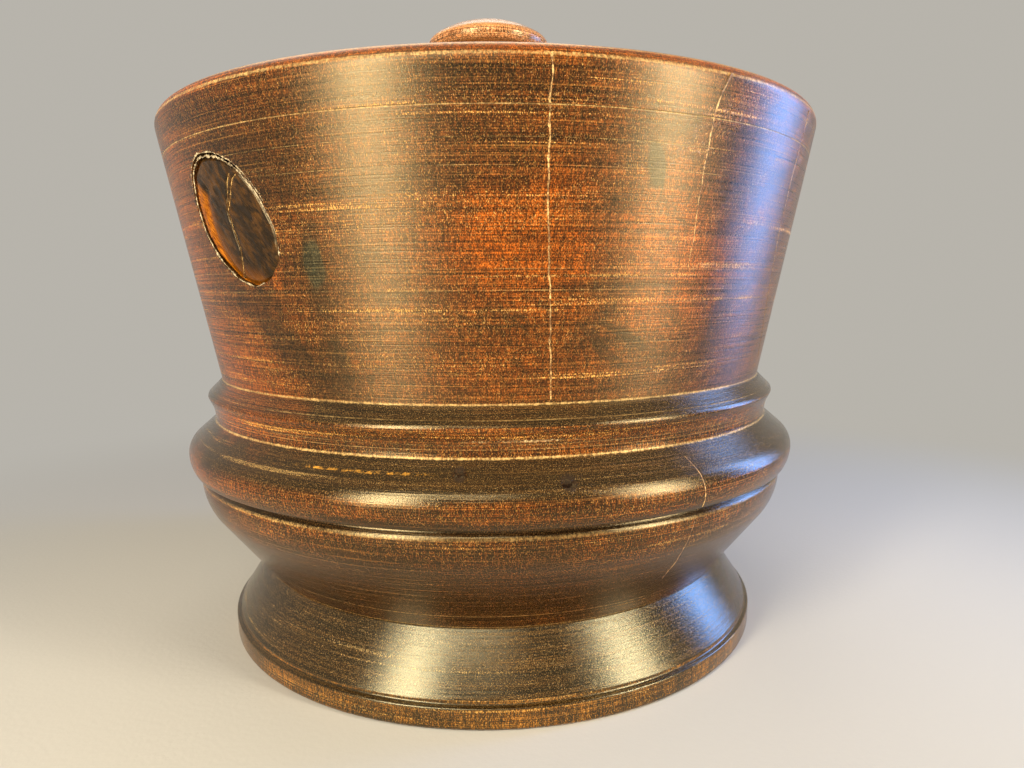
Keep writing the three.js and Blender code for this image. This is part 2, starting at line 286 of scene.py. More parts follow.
def turned(name, outline, ease, steps=TURN_STEPS):
    """Turns a piece: half its outline is drawn, its corners are eased, and it is spun."""
    piece = drawn_line(name, [(radius, 0, height) for radius, height in outline])
    bpy.ops.mesh.select_all(action="DESELECT")
    bpy.ops.object.mode_set(mode="OBJECT")
    for i in range(1, len(outline) - 1):
        before = Vector(outline[i]) - Vector(outline[i - 1])
        after = Vector(outline[i + 1]) - Vector(outline[i])
        if abs(before.angle_signed(after)) > math.radians(EASE_TURN):
            piece.data.vertices[i].select = True
    bpy.ops.object.mode_set(mode="EDIT")
    bpy.ops.mesh.bevel(offset=ease * MM, segments=3, affect="VERTICES", clamp_overlap=True)
    bpy.ops.mesh.select_all(action="SELECT")
    bpy.ops.mesh.spin(steps=steps, angle=math.tau, center=(0, 0, 0), axis=(0, 0, 1))
    bpy.ops.mesh.select_all(action="SELECT")
    bpy.ops.mesh.remove_doubles(threshold=WELD * MM)
    face_outwards()
    bpy.ops.object.shade_smooth_by_angle(angle=math.radians(SMOOTH_UNDER))
    return piece


def tint(amount, under, over, how="MIX"):
    """Lays one colour over another by an amount. Returns the mixed colour."""
    node = place_node("Mix", {0: amount, 6: under, 7: over}, data_type="RGBA", blend_type=how)
    return node.outputs[2]


def centred(value, amount, middle=0.5):
    """How far a value is from its middle, times an amount."""
    return times(calc("SUBTRACT", value, middle), amount)


def new_group(name, inputs, outputs):
    """A shader node group. Its inputs have start values: a colour, a vector or a number."""
    tree = bpy.data.node_groups.new(name, "ShaderNodeTree")
    for key, value in inputs.items():
        kind = {3: "Vector", 4: "Color"}[len(value)] if isinstance(value, tuple) else "Float"
        socket = tree.interface.new_socket(key, in_out="INPUT", socket_type="NodeSocket" + kind)
        socket.default_value = value
    for key, kind in outputs.items():
        tree.interface.new_socket(key, in_out="OUTPUT", socket_type="NodeSocket" + kind)
    return tree, tree.nodes.new("NodeGroupInput").outputs, tree.nodes.new("NodeGroupOutput")


def use_group(group, **inputs):
    """Places a node group, with underscores in the words of its input names."""
    filled = {key.replace("_", " "): value for key, value in inputs.items()}
    return place_node("Group", filled, node_tree=group).outputs


def stretch(across, upright):
    """A scale for noise, the same in both level directions and another one upright."""
    return place_node("CombineXYZ", {"X": across, "Y": across, "Z": upright}).outputs[0]


def noise_at(place, scale, detail=2, roughness=0.5, w=None, warp=0):
    """A noise value at a place that is stretched by a scale for each direction."""
    scaled = vector_calc("MULTIPLY", place, scale)[0]
    inputs = {"Vector": scaled, "Scale": 1, "Detail": detail, "Roughness": roughness, "Distortion": warp}
    if w is not None:
        inputs["W"] = w
    kind = "3D" if w is None else "4D"
    return place_node("TexNoise", inputs, noise_dimensions=kind).outputs["Fac"]


def bump_up(shader, height, strength, distance):
    """Turns a height into the shader's normal. The distance is in mm."""
    inputs = {"Height": height, "Strength": strength, "Distance": distance * MM}
    wire(shader, {"Normal": place_node("Bump", inputs).outputs["Normal"]})


# Where a point is on a turned piece: degrees round from the front, height and radius in mm.
turned_place, given, result = new_group(
    "turned_place",
    {"Place": ORIGIN},
    {"Azimuth": "Float", "Height": "Float", "Radius": "Float"},
)
x, y, z = place_node("SeparateXYZ", {0: given["Place"]}).outputs
radius = calc("SQRT", plus(times(x, x), times(y, y)))
wire(result, {
    "Azimuth": calc("DEGREES", calc("ARCTAN2", x, times(y, -1))),
    "Height": calc("DIVIDE", z, MM),
    "Radius": calc("DIVIDE", radius, MM),
})

# Fine rings left by the turning tool and the polishing rag, long round the piece and very thin.
lathe_lines, given, result = new_group(
    "lathe_lines",
    {"Place": ORIGIN, "Radius": 0, "Pitch": 0.3, "Run": 60},
    {"Lines": "Float"},
)
thin = calc("DIVIDE", 1 / MM, given["Pitch"])
long_way = calc("DIVIDE", 1 / MM, given["Run"])
ring_w = calc("DIVIDE", given["Radius"], given["Pitch"])
lines = noise_at(given["Place"], stretch(long_way, thin), 3, 0.62, ring_w)
wire(result, {"Lines": lines})

# Open pores along the fibres, which run upright: dashes on upright faces and dots on level ones.
pores, given, result = new_group(
    "pores",
    {"Place": ORIGIN, "Width": 0.22, "Length": 0.7, "Amount": 0.4},
    {"Pores": "Float"},
)
wide = calc("DIVIDE", 1 / MM, given["Width"])
tall = calc("DIVIDE", 1 / MM, given["Length"])
cells = noise_at(given["Place"], stretch(wide, tall), 1, 0.4)
edge = calc("SUBTRACT", 0.78, times(given["Amount"], 0.42))
wire(result, {"Pores": ramp(cells, edge, plus(edge, 0.09))})

# Growth rings round the pith, which stands upright near the middle, wavering as in a real log.
growth_rings, given, result = new_group(
    "growth_rings",
    {"Place": ORIGIN, "Pith": ORIGIN, "Spacing": 2, "Waver": 3},
    {"Rings": "Float"},
)
from_pith = vector_calc("SUBTRACT", given["Place"], given["Pith"])[0]
flat = vector_calc("MULTIPLY", from_pith, (1, 1, 0.04))[0]
out = calc("DIVIDE", vector_calc("LENGTH", flat)["Value"], MM)
bend = centred(noise_at(given["Place"], (16, 16, 9)), given["Waver"])
phase = calc("DIVIDE", plus(out, bend), given["Spacing"])
bands = place_node("TexNoise", {"W": phase, "Scale": 1, "Detail": 2}, noise_dimensions="1D")
wire(result, {"Rings": ramp(bands.outputs["Fac"], 0.3, 0.7)})

# Old waxed wood: deep and warm bands by growth ring, darker and greener where the fibres end on
# a level face, with pale wax in the pores and polished high spots between the tool's rings, and
# golden flecks on the grain that are partly painted glints.
waxed_wood, given, result = new_group(
    "waxed_wood",
    {
        "Place": ORIGIN,
        "Facing": ORIGIN,
        "Deep": (0.034, 0.009, 0.002, 1),
        "Warm": (0.115, 0.026, 0.002, 1),
        "End Grain": (0.022, 0.012, 0.003, 1),
        "Wax": (0.69, 0.37, 0.085, 1),
        "End Wax": (0.5, 0.31, 0.1, 1),
        "Glow": 0,
        "Glow Colour": (0.235, 0.046, 0.001, 1),
        "Stain": 0,
        "Stain Colour": (0.018, 0.007, 0.002, 1),
        "Ends": 1,
        "Pore Amount": 0.2,
        "Pith": (0.004, 0.009, 0),
        "Ring Spacing": 1.1,
        "Line Strength": 0.5,
    },
    {"Colour": "Color", "Roughness": "Float", "Height": "Float"},
)
place = given["Place"]
radius = use_group(turned_place, Place=place)["Radius"]
rings = use_group(
    growth_rings, Place=place, Pith=given["Pith"], Spacing=given["Ring Spacing"], Waver=5
)["Rings"]
fine = use_group(lathe_lines, Place=place, Radius=radius, Pitch=0.21, Run=34)["Lines"]
broad = use_group(lathe_lines, Place=place, Radius=radius, Pitch=1.1, Run=75)["Lines"]
clouds = noise_at(place, (34, 34, 17), 4, 0.6, warp=0.6)
fibre = noise_at(place, (2600, 2600, 260), 2, 0.6)
grain = noise_at(place, (6800, 6800, 3000), 2, 0.6)
# The ends of the fibres show on faces that look up or straight down.
level = place_node("SeparateXYZ", {0: given["Facing"]}).outputs["Z"]
end = plus(ramp(level, 0.05, 0.5), ramp(level, -0.8, -0.97))
end = times(end, given["Ends"])
# Deep to warm by ring, cloud and fibre, with the end grain, glow and stain laid over. On the
# jar's body the glow also carries a painted highlight round the rim, and the stain painted shade.
warm = plus(centred(rings, 0.22), centred(clouds, 1.3), centred(fibre, 0.55), 0.42)
colour = tint(ramp(warm, 0, 1), given["Deep"], given["Warm"])
colour = tint(times(end, 0.85), colour, given["End Grain"])
colour = tint(given["Glow"], colour, given["Glow Colour"])
colour = tint(given["Stain"], colour, given["Stain Colour"])
# Lighter and darker by the tool's lines and the grain, and streaked where the fibres run upright.
streaks = calc("SUBTRACT", ramp(fibre, 0.34, 0.66, 0.52, 1.5), 1)
shade = times(
    ramp(broad, 0.3, 0.72, 0.86, 1.14),
    ramp(grain, 0.4, 0.6, 0.3, 1.5),
    ramp(fine, 0.38, 0.62, 0.44, 1.6),
    plus(times(calc("SUBTRACT", 1, end), streaks), 1),
)
grey = place_node("CombineColor", {0: shade, 1: shade, 2: shade}).outputs[0]
colour = tint(1, colour, grey, "MULTIPLY")
# Pores crowd along some lines. Wax fills them, and shows on the cut grain and the rubbed lines.
# The golden flecks on the grain's peaks are wax and painted glints together.
crowd = plus(
    times(ramp(broad, 0.56, 0.7), 0.46),
    given["Pore Amount"],
    centred(rings, 0.25),
    times(end, -0.05),
)
pore = use_group(pores, Place=place, Width=0.15, Length=0.42, Amount=crowd)["Pores"]
gilt_and_glints = times(
    ramp(grain, 0.58, 0.68, 0, 0.36),
    ramp(given["Stain"], 0, 1, 1, 0.3),
    ramp(end, 0, 1, 1, 0.85),
)
pore_wax = times(pore, ramp(fine, 0.35, 0.65, 0.4, 1), ramp(given["Stain"], 0, 1, 1, 0.4))
rub = times(ramp(fine, 0.56, 0.72), given["Line Strength"], ramp(end, 0, 1, 0.28, 0.08))
wax = tint(end, given["Wax"], given["End Wax"])
for amount in (gilt_and_glints, pore_wax, rub):
    colour = tint(amount, colour, wax)
# Lines and grain roughen the polish and stand up a little, and the pores sink.
rough = plus(times(fine, 0.16), times(grain, 0.12), times(pore, 0.1), 0.01)
bumps = plus(
    centred(fine, times(given["Line Strength"], 2.6)),
    times(pore, -0.5),
    times(broad, 0.2),
    times(grain, 0.65),
)
wire(result, {"Colour": colour, "Roughness": rough, "Height": bumps})

# A fine line round a turned piece at one height, broken here and there, such as a worn arris; on
# the jar it also carries painted highlights along the edges.
ring_line, given, result = new_group(
    "ring_line",
    {"Place": ORIGIN, "Height": 0, "Centre": 0, "Width": 0.4, "Broken": 0.4},
    {"Line": "Float"},
)
place = given["Place"]
off = calc("ABSOLUTE", calc("SUBTRACT", given["Height"], given["Centre"]))
off = calc("DIVIDE", off, given["Width"])
off = plus(off, centred(noise_at(place, (1700, 1700, 900), 3, 0.7), 2, 0.45))
flecks = ramp(noise_at(place, (2600, 2600, 1300), 2, 0.6), 0.4, 0.6, 0.3, 1)
whole = ramp(noise_at(place, (75, 75, 75), 5, 0.8), 0.42, 0.62)
gaps = times(given["Broken"], calc("SUBTRACT", 1, whole))
wire(result, {"Line": times(ramp(off, 1, 0.3), flecks, calc("SUBTRACT", 1, gaps))})


def waxed_material(name, **finish):
    """Waxed wood on its own shader. Returns the material, its shader, place and grain."""
    material, shader, coords = plain_material(name, (0.2, 0.07, 0.02, 1), 0.4)
    wood = use_group(waxed_wood, Place=coords["Object"], Facing=coords["Normal"], **finish)
    round_it = place_node("Tangent", {}, shader.id_data, direction_type="RADIAL", axis="Z")
    wire(shader, {
        "Base Color": wood["Colour"],
        "Roughness": wood["Roughness"],
        "Tangent": round_it.outputs[0],
        "Anisotropic": 0.55,
        "Anisotropic Rotation": 0.25,
        "Specular IOR Level": 0.62,
        "Specular Tint": WAX_TINT,
        "IOR": WAX_IOR,
    })
    bump_up(shader, wood["Height"], 0.8, 0.045)
    return material, shader, coords["Object"], wood


foot_outline = [
    (0, FOOT_DISH),
    (FOOT_RADIUS - FOOT_DISH_RIM - 2 * FOOT_DISH, FOOT_DISH),
    (FOOT_RADIUS - FOOT_DISH_RIM, 0),
    (FOOT_RADIUS - FOOT_EDGE, 0),
    (FOOT_RADIUS, FOOT_EDGE),
    (FOOT_RADIUS, FOOT_BAND),
    (FOOT_RADIUS - FOOT_GROOVE, FOOT_BAND + FOOT_GROOVE / 3),
    (FOOT_RADIUS - FOOT_GROOVE, FOOT_BAND + FOOT_GROOVE),
    (JOINT_RADIUS + FOOT_SHOULDER[0], FOOT_TOP - FOOT_SHOULDER[1]),
    (JOINT_RADIUS, FOOT_TOP),
    (SPIGOT_RADIUS + GLUE_GAP, FOOT_TOP),
    (SPIGOT_RADIUS + GLUE_GAP, FOOT_FLOOR),
    (0, FOOT_FLOOR),
]
foot = turned("foot_turned", foot_outline, FOOT_EASE)
foot_wood, foot_shader = waxed_material(
    "foot_wood",
    Deep=(0.03, 0.012, 0.003, 1),
    Warm=(0.18, 0.064, 0.006, 1),
    End_Grain=(0.02, 0.01, 0.002, 1),
    Wax=(0.62, 0.33, 0.07, 1),
    Pore_Amount=0.22,
)[:2]
wire(foot_shader, {"Specular Tint": FOOT_WAX_TINT})
foot.data.materials.append(foot_wood)
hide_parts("foot")
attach(foot, "jar")


# Jar body
# Bowl, moulded waist, cone and rim, turned in one piece from a log with its pith near the middle.
# An oval pocket at the front left holds a dead knot, and two pin holes mark the torus.
body_low, body_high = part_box("jar_body")
RIM_REACH = body_high.x / MM
RIM_Z = body_high.z / MM
SOCKET_TOP = body_low.z / MM
RIDGE_RADIUS = 69.75
RIDGE_Z = 37.5
RIDGE_BELOW = 12
RIDGE_ABOVE = 1.3
GROOVE_Z = 38.6
GROOVE_ARC = 0.6
GROOVE_IN = 0.1
GROOVE_UP = 0.45
TORUS_RADIUS = 72.1
TORUS_Z = 43.6
TORUS_BELOW = 7
TORUS_ABOVE = 4.2
NECK_RADIUS = 66.2
NECK_Z = 50.6
NECK_HIGH = 0.9
COVE_RADIUS = 6.9
BEAD_RADIUS = 67.5
BEAD_Z = 55.8
BEAD_ARC = 1.2
CONE_FOOT_RADIUS = 64.3
CONE_Z = 59.4
CONE_SLOPE = 10.7 / 55.6
RIM_ROLL = 2.8
RIM_INNER = 0.9
SEAT_RADIUS = 68.5
SEAT_Z = 106
BORE_RADIUS = 57
FLOOR_Z = 26
FLOOR_CORNER = 3
BODY_EASE = 0.12
SCORED_LINE_Z = 106
SCORED_LINE = 0.06
KNOT_AZIMUTH = -40.5
KNOT_Z = 91
KNOT_LONG = 25.6
KNOT_WIDE = 18.4
KNOT_LEAN = 47
KNOT_GAP = 0.45
KNOT_TAPER = 0.012
POCKET_DEPTH = 8
POCKET_PROUD = 6
PIN_HOLES = ((-4.7, 48.7, 1.2), (10.1, 47.05, 1.45))
PIN_DEEP = 1.2


def cone_radius(height):
    """Radius of the cone's face at a height."""
    return CONE_FOOT_RADIUS + CONE_SLOPE * (height - CONE_Z)


outer_face = [
    (JOINT_RADIUS, FOOT_TOP),
    *arc(RIDGE_RADIUS - RIDGE_BELOW, RIDGE_Z, RIDGE_BELOW, -33.3, -4, 12),
    *arc(RIDGE_RADIUS - RIDGE_ABOVE, RIDGE_Z, RIDGE_ABOVE, 5, 46, 6),
    *arc(RIDGE_RADIUS - GROOVE_IN, GROOVE_Z + GROOVE_UP, GROOVE_ARC, 222, 140, 6),
    *arc(TORUS_RADIUS - TORUS_BELOW, TORUS_Z, TORUS_BELOW, -32, 0, 12),
    *arc(TORUS_RADIUS - TORUS_ABOVE, TORUS_Z, TORUS_ABOVE, 6, 49, 9),
    (NECK_RADIUS, NECK_Z),
    (NECK_RADIUS, NECK_Z + NECK_HIGH),
    *arc(NECK_RADIUS + COVE_RADIUS, NECK_Z + NECK_HIGH, COVE_RADIUS, 176, 150, 6),
    *arc(BEAD_RADIUS - BEAD_ARC, BEAD_Z, BEAD_ARC, 0, 46, 4),
    (CONE_FOOT_RADIUS, CONE_Z),
]
for above, sunk in ((-4, 0), (-1.2, 0), (0, 1), (1.2, 0), (4, 0)):
    height = SCORED_LINE_Z + above * SCORED_LINE
    outer_face.append((cone_radius(height) - sunk * SCORED_LINE, height))
body_outline = [
    (0, SOCKET_TOP),
    (SPIGOT_RADIUS, SOCKET_TOP),
    (SPIGOT_RADIUS, FOOT_TOP),
    *outer_face,
    *arc(RIM_REACH - RIM_ROLL, RIM_Z - RIM_ROLL, RIM_ROLL, -10.9, 90, 10),
    *arc(SEAT_RADIUS + RIM_INNER, RIM_Z - RIM_INNER, RIM_INNER, 90, 180, 5),
    (SEAT_RADIUS, SEAT_Z),
    (BORE_RADIUS, SEAT_Z),
    *arc(BORE_RADIUS - FLOOR_CORNER, FLOOR_Z + FLOOR_CORNER, FLOOR_CORNER, 0, -90, 5),
    (0, FLOOR_Z),
]
body = turned("jar_turned", body_outline, BODY_EASE)

knot_turn = math.radians(KNOT_AZIMUTH)
knot_lean = math.radians(KNOT_LEAN)
knot_out = Vector((math.sin(knot_turn), -math.cos(knot_turn), 0))
knot_side = Vector((math.cos(knot_turn), math.sin(knot_turn), 0))
knot_along = -math.cos(knot_lean) * knot_side + Vector((0, 0, math.sin(knot_lean)))
knot_across = knot_out.cross(knot_along)
knot_centre = knot_out * cone_radius(KNOT_Z) + Vector((0, 0, KNOT_Z))
knot_frame = Matrix((knot_along, knot_across, knot_out)).transposed().to_4x4()
knot_frame = Matrix.Translation(knot_centre * MM) @ knot_frame


def pick(piece):
    """Selects one piece alone and makes it the active one."""
    bpy.ops.object.select_all(action="DESELECT")
    piece.select_set(True)
    bpy.context.view_layer.objects.active = piece


def apply_place(piece, place):
    """Puts a piece where a matrix says and leaves that place in its mesh."""
    pick(piece)
    piece.matrix_world = place
    bpy.ops.object.transform_apply()
    return piece


def uneven_edge(angle):
    """How far the knot's outline is from a true oval, at an angle round it."""
    broad = 1 + 0.02 * math.sin(2 * angle + 0.6)
    return broad + 0.012 * math.sin(5 * angle + 2) + 0.006 * math.sin(13 * angle)


def oval_plug(name, grow, inner, outer):
    """An oval plug along the knot's own axis, a little uneven all round, and wider outwards."""
    bpy.ops.object.select_all(action="DESELECT")
    bpy.ops.mesh.primitive_cone_add(
        vertices=180,
        radius1=1 + KNOT_TAPER * inner,
        radius2=1 + KNOT_TAPER * outer,
        depth=(outer - inner) * MM,
        location=(0, 0, (outer + inner) / 2 * MM),
        end_fill_type="NGON",
    )
    plug = bpy.context.object
    plug.name = plug.data.name = name
    bpy.ops.object.transform_apply()
    for vertex in plug.data.vertices:
        uneven = uneven_edge(math.atan2(vertex.co.y, vertex.co.x))
        vertex.co.x *= (KNOT_LONG / 2 * uneven + grow) * MM
        vertex.co.y *= (KNOT_WIDE / 2 * uneven + grow) * MM
    return apply_place(plug, knot_frame)


def cut_from(piece, cutter):
    """Cuts a cutter's shape out of a piece by an applied Boolean, and takes the cutter away."""
    pick(piece)
    saw = piece.modifiers.new("cut", "BOOLEAN")
    saw.operation = "DIFFERENCE"
    saw.object = cutter
    saw.solver = "EXACT"
    bpy.ops.object.modifier_apply(modifier=saw.name)
    bpy.data.objects.remove(cutter)


def on_jar(azimuth, height, radius):
    """A point at an angle round the jar from its front, in mm."""
    turn = math.radians(azimuth)
    return Vector((radius * math.sin(turn), -radius * math.cos(turn), height))


def face_radius(height):
    """Radius of the jar's outer face at a height, from its outline."""
    run = outer_face + [(cone_radius(RIM_Z - RIM_ROLL), RIM_Z - RIM_ROLL)]
    for (low_radius, low), (high_radius, high) in zip(run, run[1:]):
        if low <= height <= high and high > low:
            return low_radius + (high_radius - low_radius) * (height - low) / (high - low)
    return cone_radius(height)


cut_from(body, oval_plug("pocket_cutter", KNOT_GAP, -POCKET_DEPTH, POCKET_PROUD))
for azimuth, height, size in PIN_HOLES:
    bpy.ops.object.select_all(action="DESELECT")
    bpy.ops.mesh.primitive_cone_add(
        vertices=24, radius1=0.6 * size * MM, radius2=size * MM, depth=PIN_DEEP * MM, end_fill_type="NGON"
    )
    pin = bpy.context.object
    for vertex in pin.data.vertices:
        ragged_edge = 1 + 0.6 * noise.noise(vertex.co.xyz * 1000 + Vector((0, 0, azimuth)))
        vertex.co.x *= ragged_edge
        vertex.co.y *= ragged_edge
    inwards = on_jar(azimuth, 0, 1).to_track_quat("Z", "Y").to_matrix().to_4x4()
    apply_place(pin, Matrix.Translation(on_jar(azimuth, height, face_radius(height)) * MM) @ inwards)
    cut_from(body, pin)
pick(body)
bpy.ops.object.shade_smooth_by_angle(angle=math.radians(SMOOTH_UNDER))


def oval_reach(beside, half_width, above, half_height):
    """How many times an oval's own size a point is from its centre."""
    beside = calc("DIVIDE", beside, half_width)
    above = calc("DIVIDE", above, half_height)
    return calc("SQRT", plus(times(beside, beside), times(above, above)))


# An oval patch on a turned piece, in degrees round and mm up, with a ragged soft edge.
soft_patch, given, result = new_group(
    "soft_patch",
    {
        "Azimuth": 0, "Height": 0, "Centre Azimuth": 0, "Centre Height": 0, "Half Width": 10,
        "Half Height": 10, "Lean": 0, "Ragged": 0, "Softness": 0.6,
    },
    {"Patch": "Float"},
)
up = calc("SUBTRACT", given["Height"], given["Centre Height"])
round_by = calc("SUBTRACT", given["Azimuth"], given["Centre Azimuth"])
round_by = calc("SUBTRACT", round_by, times(up, given["Lean"]))
far = plus(oval_reach(round_by, given["Half Width"], up, given["Half Height"]), given["Ragged"])
wire(result, {"Patch": ramp(far, 1, calc("SUBTRACT", 1, given["Softness"]))})

body_wood, body_shader, body_place, body_grain = waxed_material("body_wood")
body_where = use_group(turned_place, Place=body_place)
ragged = centred(noise_at(body_place, (90, 90, 60), 4, 0.65), 1.6)
hairy = centred(noise_at(body_place, (500, 500, 160), 3, 0.6), 0.9)


def patch(azimuth, height, half_width, half_height, lean, softness, edge=ragged):
    """A soft patch on the jar's face. Returns its mask."""
    return use_group(
        soft_patch, Azimuth=body_where["Azimuth"], Height=body_where["Height"],
        Centre_Azimuth=azimuth, Centre_Height=height, Half_Width=half_width, Half_Height=half_height,
        Lean=lean, Ragged=edge, Softness=softness,
    )["Patch"]


def strongest(patches, softness, edge=ragged):
    """The strongest of several patches at each point."""
    most = 0
    for azimuth, height, half_width, half_height, lean, strength in patches:
        mask = patch(azimuth, height, half_width, half_height, lean, softness, edge)
        most = calc("MAXIMUM", most, times(mask, strength))
    return most


# Patches, (azimuth, height, half width, half height, lean, strength): where the heart wood glows
# orange, with a painted highlight in the band round the rim's roll; where it is stained dark, with
# painted shade over the bowl under the waist and in the groove under the torus; where flames of
# dark wood show, and the two filled spots.
GLOW_AND_RIM_HIGHLIGHT = (
    (4, 86, 20, 15, 0, 1),
    (26, 84, 13, 20, -0.2, 1),
    (-32.8, 84, 1.6, 9, 0, 0.8),
    (-2, 66, 34, 10, 0, 0.2),
    (-53, 65, 20, 20, -0.93, 0.62),
    (-60, 90, 12, 30, 0, 0.6),
    (-50, 53, 18, 5, 0, 0.8),
    (-62, 41, 25, 7, 0, 0.7),
    (10, 52, 40, 4, 0, 0.05),
    # The band round the rim's roll: the wood's orange with a painted highlight over it.
    (0, 115, 900, 3.6, 0, 1.1),
)
STAIN_AND_SHADE = (
    (17, 79, 12, 2.6, 1.1, 0.6),
    (-25.5, 82, 4.4, 15, 0, 1),
    (-24, 68, 4, 14, -0.15, 0.8),
    (-33.5, 70, 7.5, 22, -1, 0.8),
    (-33, 99, 14, 14, 0, 0.7),
    (-37, 77, 8, 4, 0, 0.7),
    (-20, 109, 60, 5, 0, 0.3),
    (42, 100, 16, 9, -0.5, 0.45),
    # Over the bowl under the waist, all round: painted shade.
    (30, 26, 900, 16, 0, 0.75),
    (14, 72, 3, 8, 0.9, 0.5),
    (38, 72, 5, 12, 0.3, 0.5),
    (36, 94, 5, 12, 0.2, 0.5),
    # In the groove under the torus, all round: painted shade.
    (0, 39.3, 900, 2.4, 0, 0.85),
    (-4.7, 48.7, 1.2, 1.15, 0, 1),
    (10.1, 47.05, 1.5, 1.4, 0, 1),
)
FLAMES = ((14, 74, 30, 14, 0, 0.75), (-12, 88, 14, 12, 0, 0.4), (32, 88, 16, 20, 0, 0.6))
FLAME_TURN = 32
FILLED_SPOTS = ((-25.3, 83, 2, 5.2, 0, 1), (21.8, 98, 1.7, 4.8, -0.16, 1))
SPOT_COLOUR = (0.016, 0.019, 0.01, 1)
# Colour of the dark stains, and of the painted shade in the groove and over the bowl.
DARK_STAIN_AND_SHADE = (0.018, 0.007, 0.002, 1)
PIN_COLOUR = (0.022, 0.013, 0.009, 1)
# Pale colour of the worn lines and of the painted highlights along the edges.
WORN_AND_HIGHLIGHT_COLOUR = (0.66, 0.42, 0.15, 1)

flame_map = place_node("Mapping", {"Vector": body_place}, vector_type="TEXTURE")
wire(flame_map, {"Rotation": (0, math.radians(FLAME_TURN), 0)})
flames = ramp(noise_at(flame_map.outputs[0], (60, 60, 330), 3, 0.6, warp=0.5), 0.5, 0.64)
# Stains, flames of dark wood and the painted shade, in one mask.
stain_and_shade = calc("MAXIMUM", strongest(STAIN_AND_SHADE, 0.8), times(strongest(FLAMES, 0.9), flames))
spots = strongest(FILLED_SPOTS, 0.35, hairy)
wire(body_grain["Colour"].node, {
    "Glow": calc("MINIMUM", times(strongest(GLOW_AND_RIM_HIGHLIGHT, 0.9), 0.8), 1),
    "Stain": calc("MAXIMUM", stain_and_shade, times(spots, 0.92)),
    "Stain Colour": tint(spots, DARK_STAIN_AND_SHADE, SPOT_COLOUR),
    "Ends": ramp(body_where["Height"], 112, 110),
})
colour = body_grain["Colour"]
for azimuth, height, size in PIN_HOLES:
    hole = patch(azimuth, height, size, size * 1.1, 0, 0.5, hairy)
    colour = tint(times(hole, 0.75), colour, PIN_COLOUR)

# Pale lines all round, (height, width of the line, broken, strength): worn wax along the scored
# and turned lines and the arrises, and painted highlight on the rim's roll and top edge and the
# ridge's crest; at the scored line at 106, the cone's foot and the neck's corner both together.
WORN_AND_HIGHLIGHT_RINGS = (
    # The scored line: worn wax with painted highlight.
    (106, 0.15, 0.6, 0.85),
    (78.6, 0.1, 0.9, 0.5),
    (82, 0.09, 0.95, 0.45),
    (97.5, 0.08, 1, 0.5),
    (101.5, 0.1, 1, 0.5),
    # These two, the corners at the cone's foot and the neck: worn wax with painted highlight.
    (59.5, 0.3, 0.4, 0.95),
    (50.7, 0.32, 0.3, 0.95),
    (52.2, 0.1, 0.7, 0.45),
    (53, 0.08, 0.8, 0.4),
    (57.2, 0.12, 0.8, 0.35),
    # The ridge's crest: painted highlight.
    (37.8, 0.5, 0.6, 0.3),
    (19.5, 0.12, 0.5, 0.65),
    (16.2, 0.2, 0.4, 0.7),
    # These two, the rim's top edge and roll: painted highlight.
    (112.9, 0.42, 0.4, 0.75),
    (114.5, 0.36, 0.3, 0.7),
)
# Where it is worn through in dashes, (azimuth, height, half width, width of the line, colour).
WORN_DASHES = (
    (-19, 48.5, 15, 0.27, (0.72, 0.33, 0.04, 1)),
    (3, 53.6, 9, 0.34, (0.8, 0.58, 0.28, 1)),
)


def pale_line(height, width, broken):
    """A pale line round the jar, for worn wax and for painted highlights. Returns its mask."""
    return use_group(
        ring_line, Place=body_place, Height=body_where["Height"],
        Centre=height, Width=width, Broken=broken,
    )["Line"]


# Paints the worn lines and the highlights along the edges in the one pale colour.
for height, width, broken, strength in WORN_AND_HIGHLIGHT_RINGS:
    colour = tint(times(pale_line(height, width, broken), strength), colour, WORN_AND_HIGHLIGHT_COLOUR)
dashes = ramp(noise_at(body_place, (900, 900, 1500), 3, 0.7), 0.44, 0.54)
for azimuth, height, half_width, width, dash_colour in WORN_DASHES:
    here = patch(azimuth, height, half_width, 2, 0, 0.5)
    colour = tint(times(pale_line(height, width, 1), dashes, here), colour, dash_colour)
on_cone_face = ramp(body_where["Height"], CONE_Z - 1, CONE_Z, 0, 0.15)
wire(body_shader, {"Base Color": colour, "Roughness": plus(body_grain["Roughness"], on_cone_face)})
body.data.materials.append(body_wood)
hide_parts("jar_body")
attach(body, "jar")


# Filled cracks
# Drying cracks that run up the jar, packed with pale filler and rubbed down level with the wood.
# Each has its width at the top and at the foot, and its path by azimuth and height.
CRACKS = {
    "crack_front": (
        0.3, 0.26,
        ((7.25, 113), (7.1, 106), (7.15, 99.6), (7.25, 92), (7.6, 85), (8.05, 77), (8.4, 69), (8.8, 60.2)),
    ),
    "crack_right": (
        0.34, 0.05,
        ((31.9, 113), (30.4, 110), (29.8, 106), (29.5, 99.5), (29.4, 93), (29.6, 87), (29.4, 82)),
    ),
    "crack_side": (0.26, 0.14, ((55, 112), (54.7, 106), (53.9, 99), (54, 89), (56.5, 76), (60.7, 64))),
    "crack_torus": (0.14, 0.2, ((30.2, 48.9), (30.6, 46.8), (31, 44.9), (31.4, 41.7), (31.5, 39.4))),
    "crack_bowl": (0.1, 0.05, ((31.2, 37), (30.6, 34.7), (30.2, 31.9), (30.8, 28.7), (30.6, 24))),
    "crack_back": (0.7, 0.2, ((152, 113), (153.4, 104), (152.8, 93), (154.6, 81), (153.9, 70), (155, 61))),
    "crack_left": (0.45, 0.1, ((-118, 113), (-117, 105), (-117.6, 96), (-116.4, 86), (-116.9, 78))),
}
CRACK_STEP = 0.35
CRACK_PROUD = 0.025
CRACK_SUNK = 0.8
CRACK_WANDER = 0.22
CRACK_RAGGED = 0.12

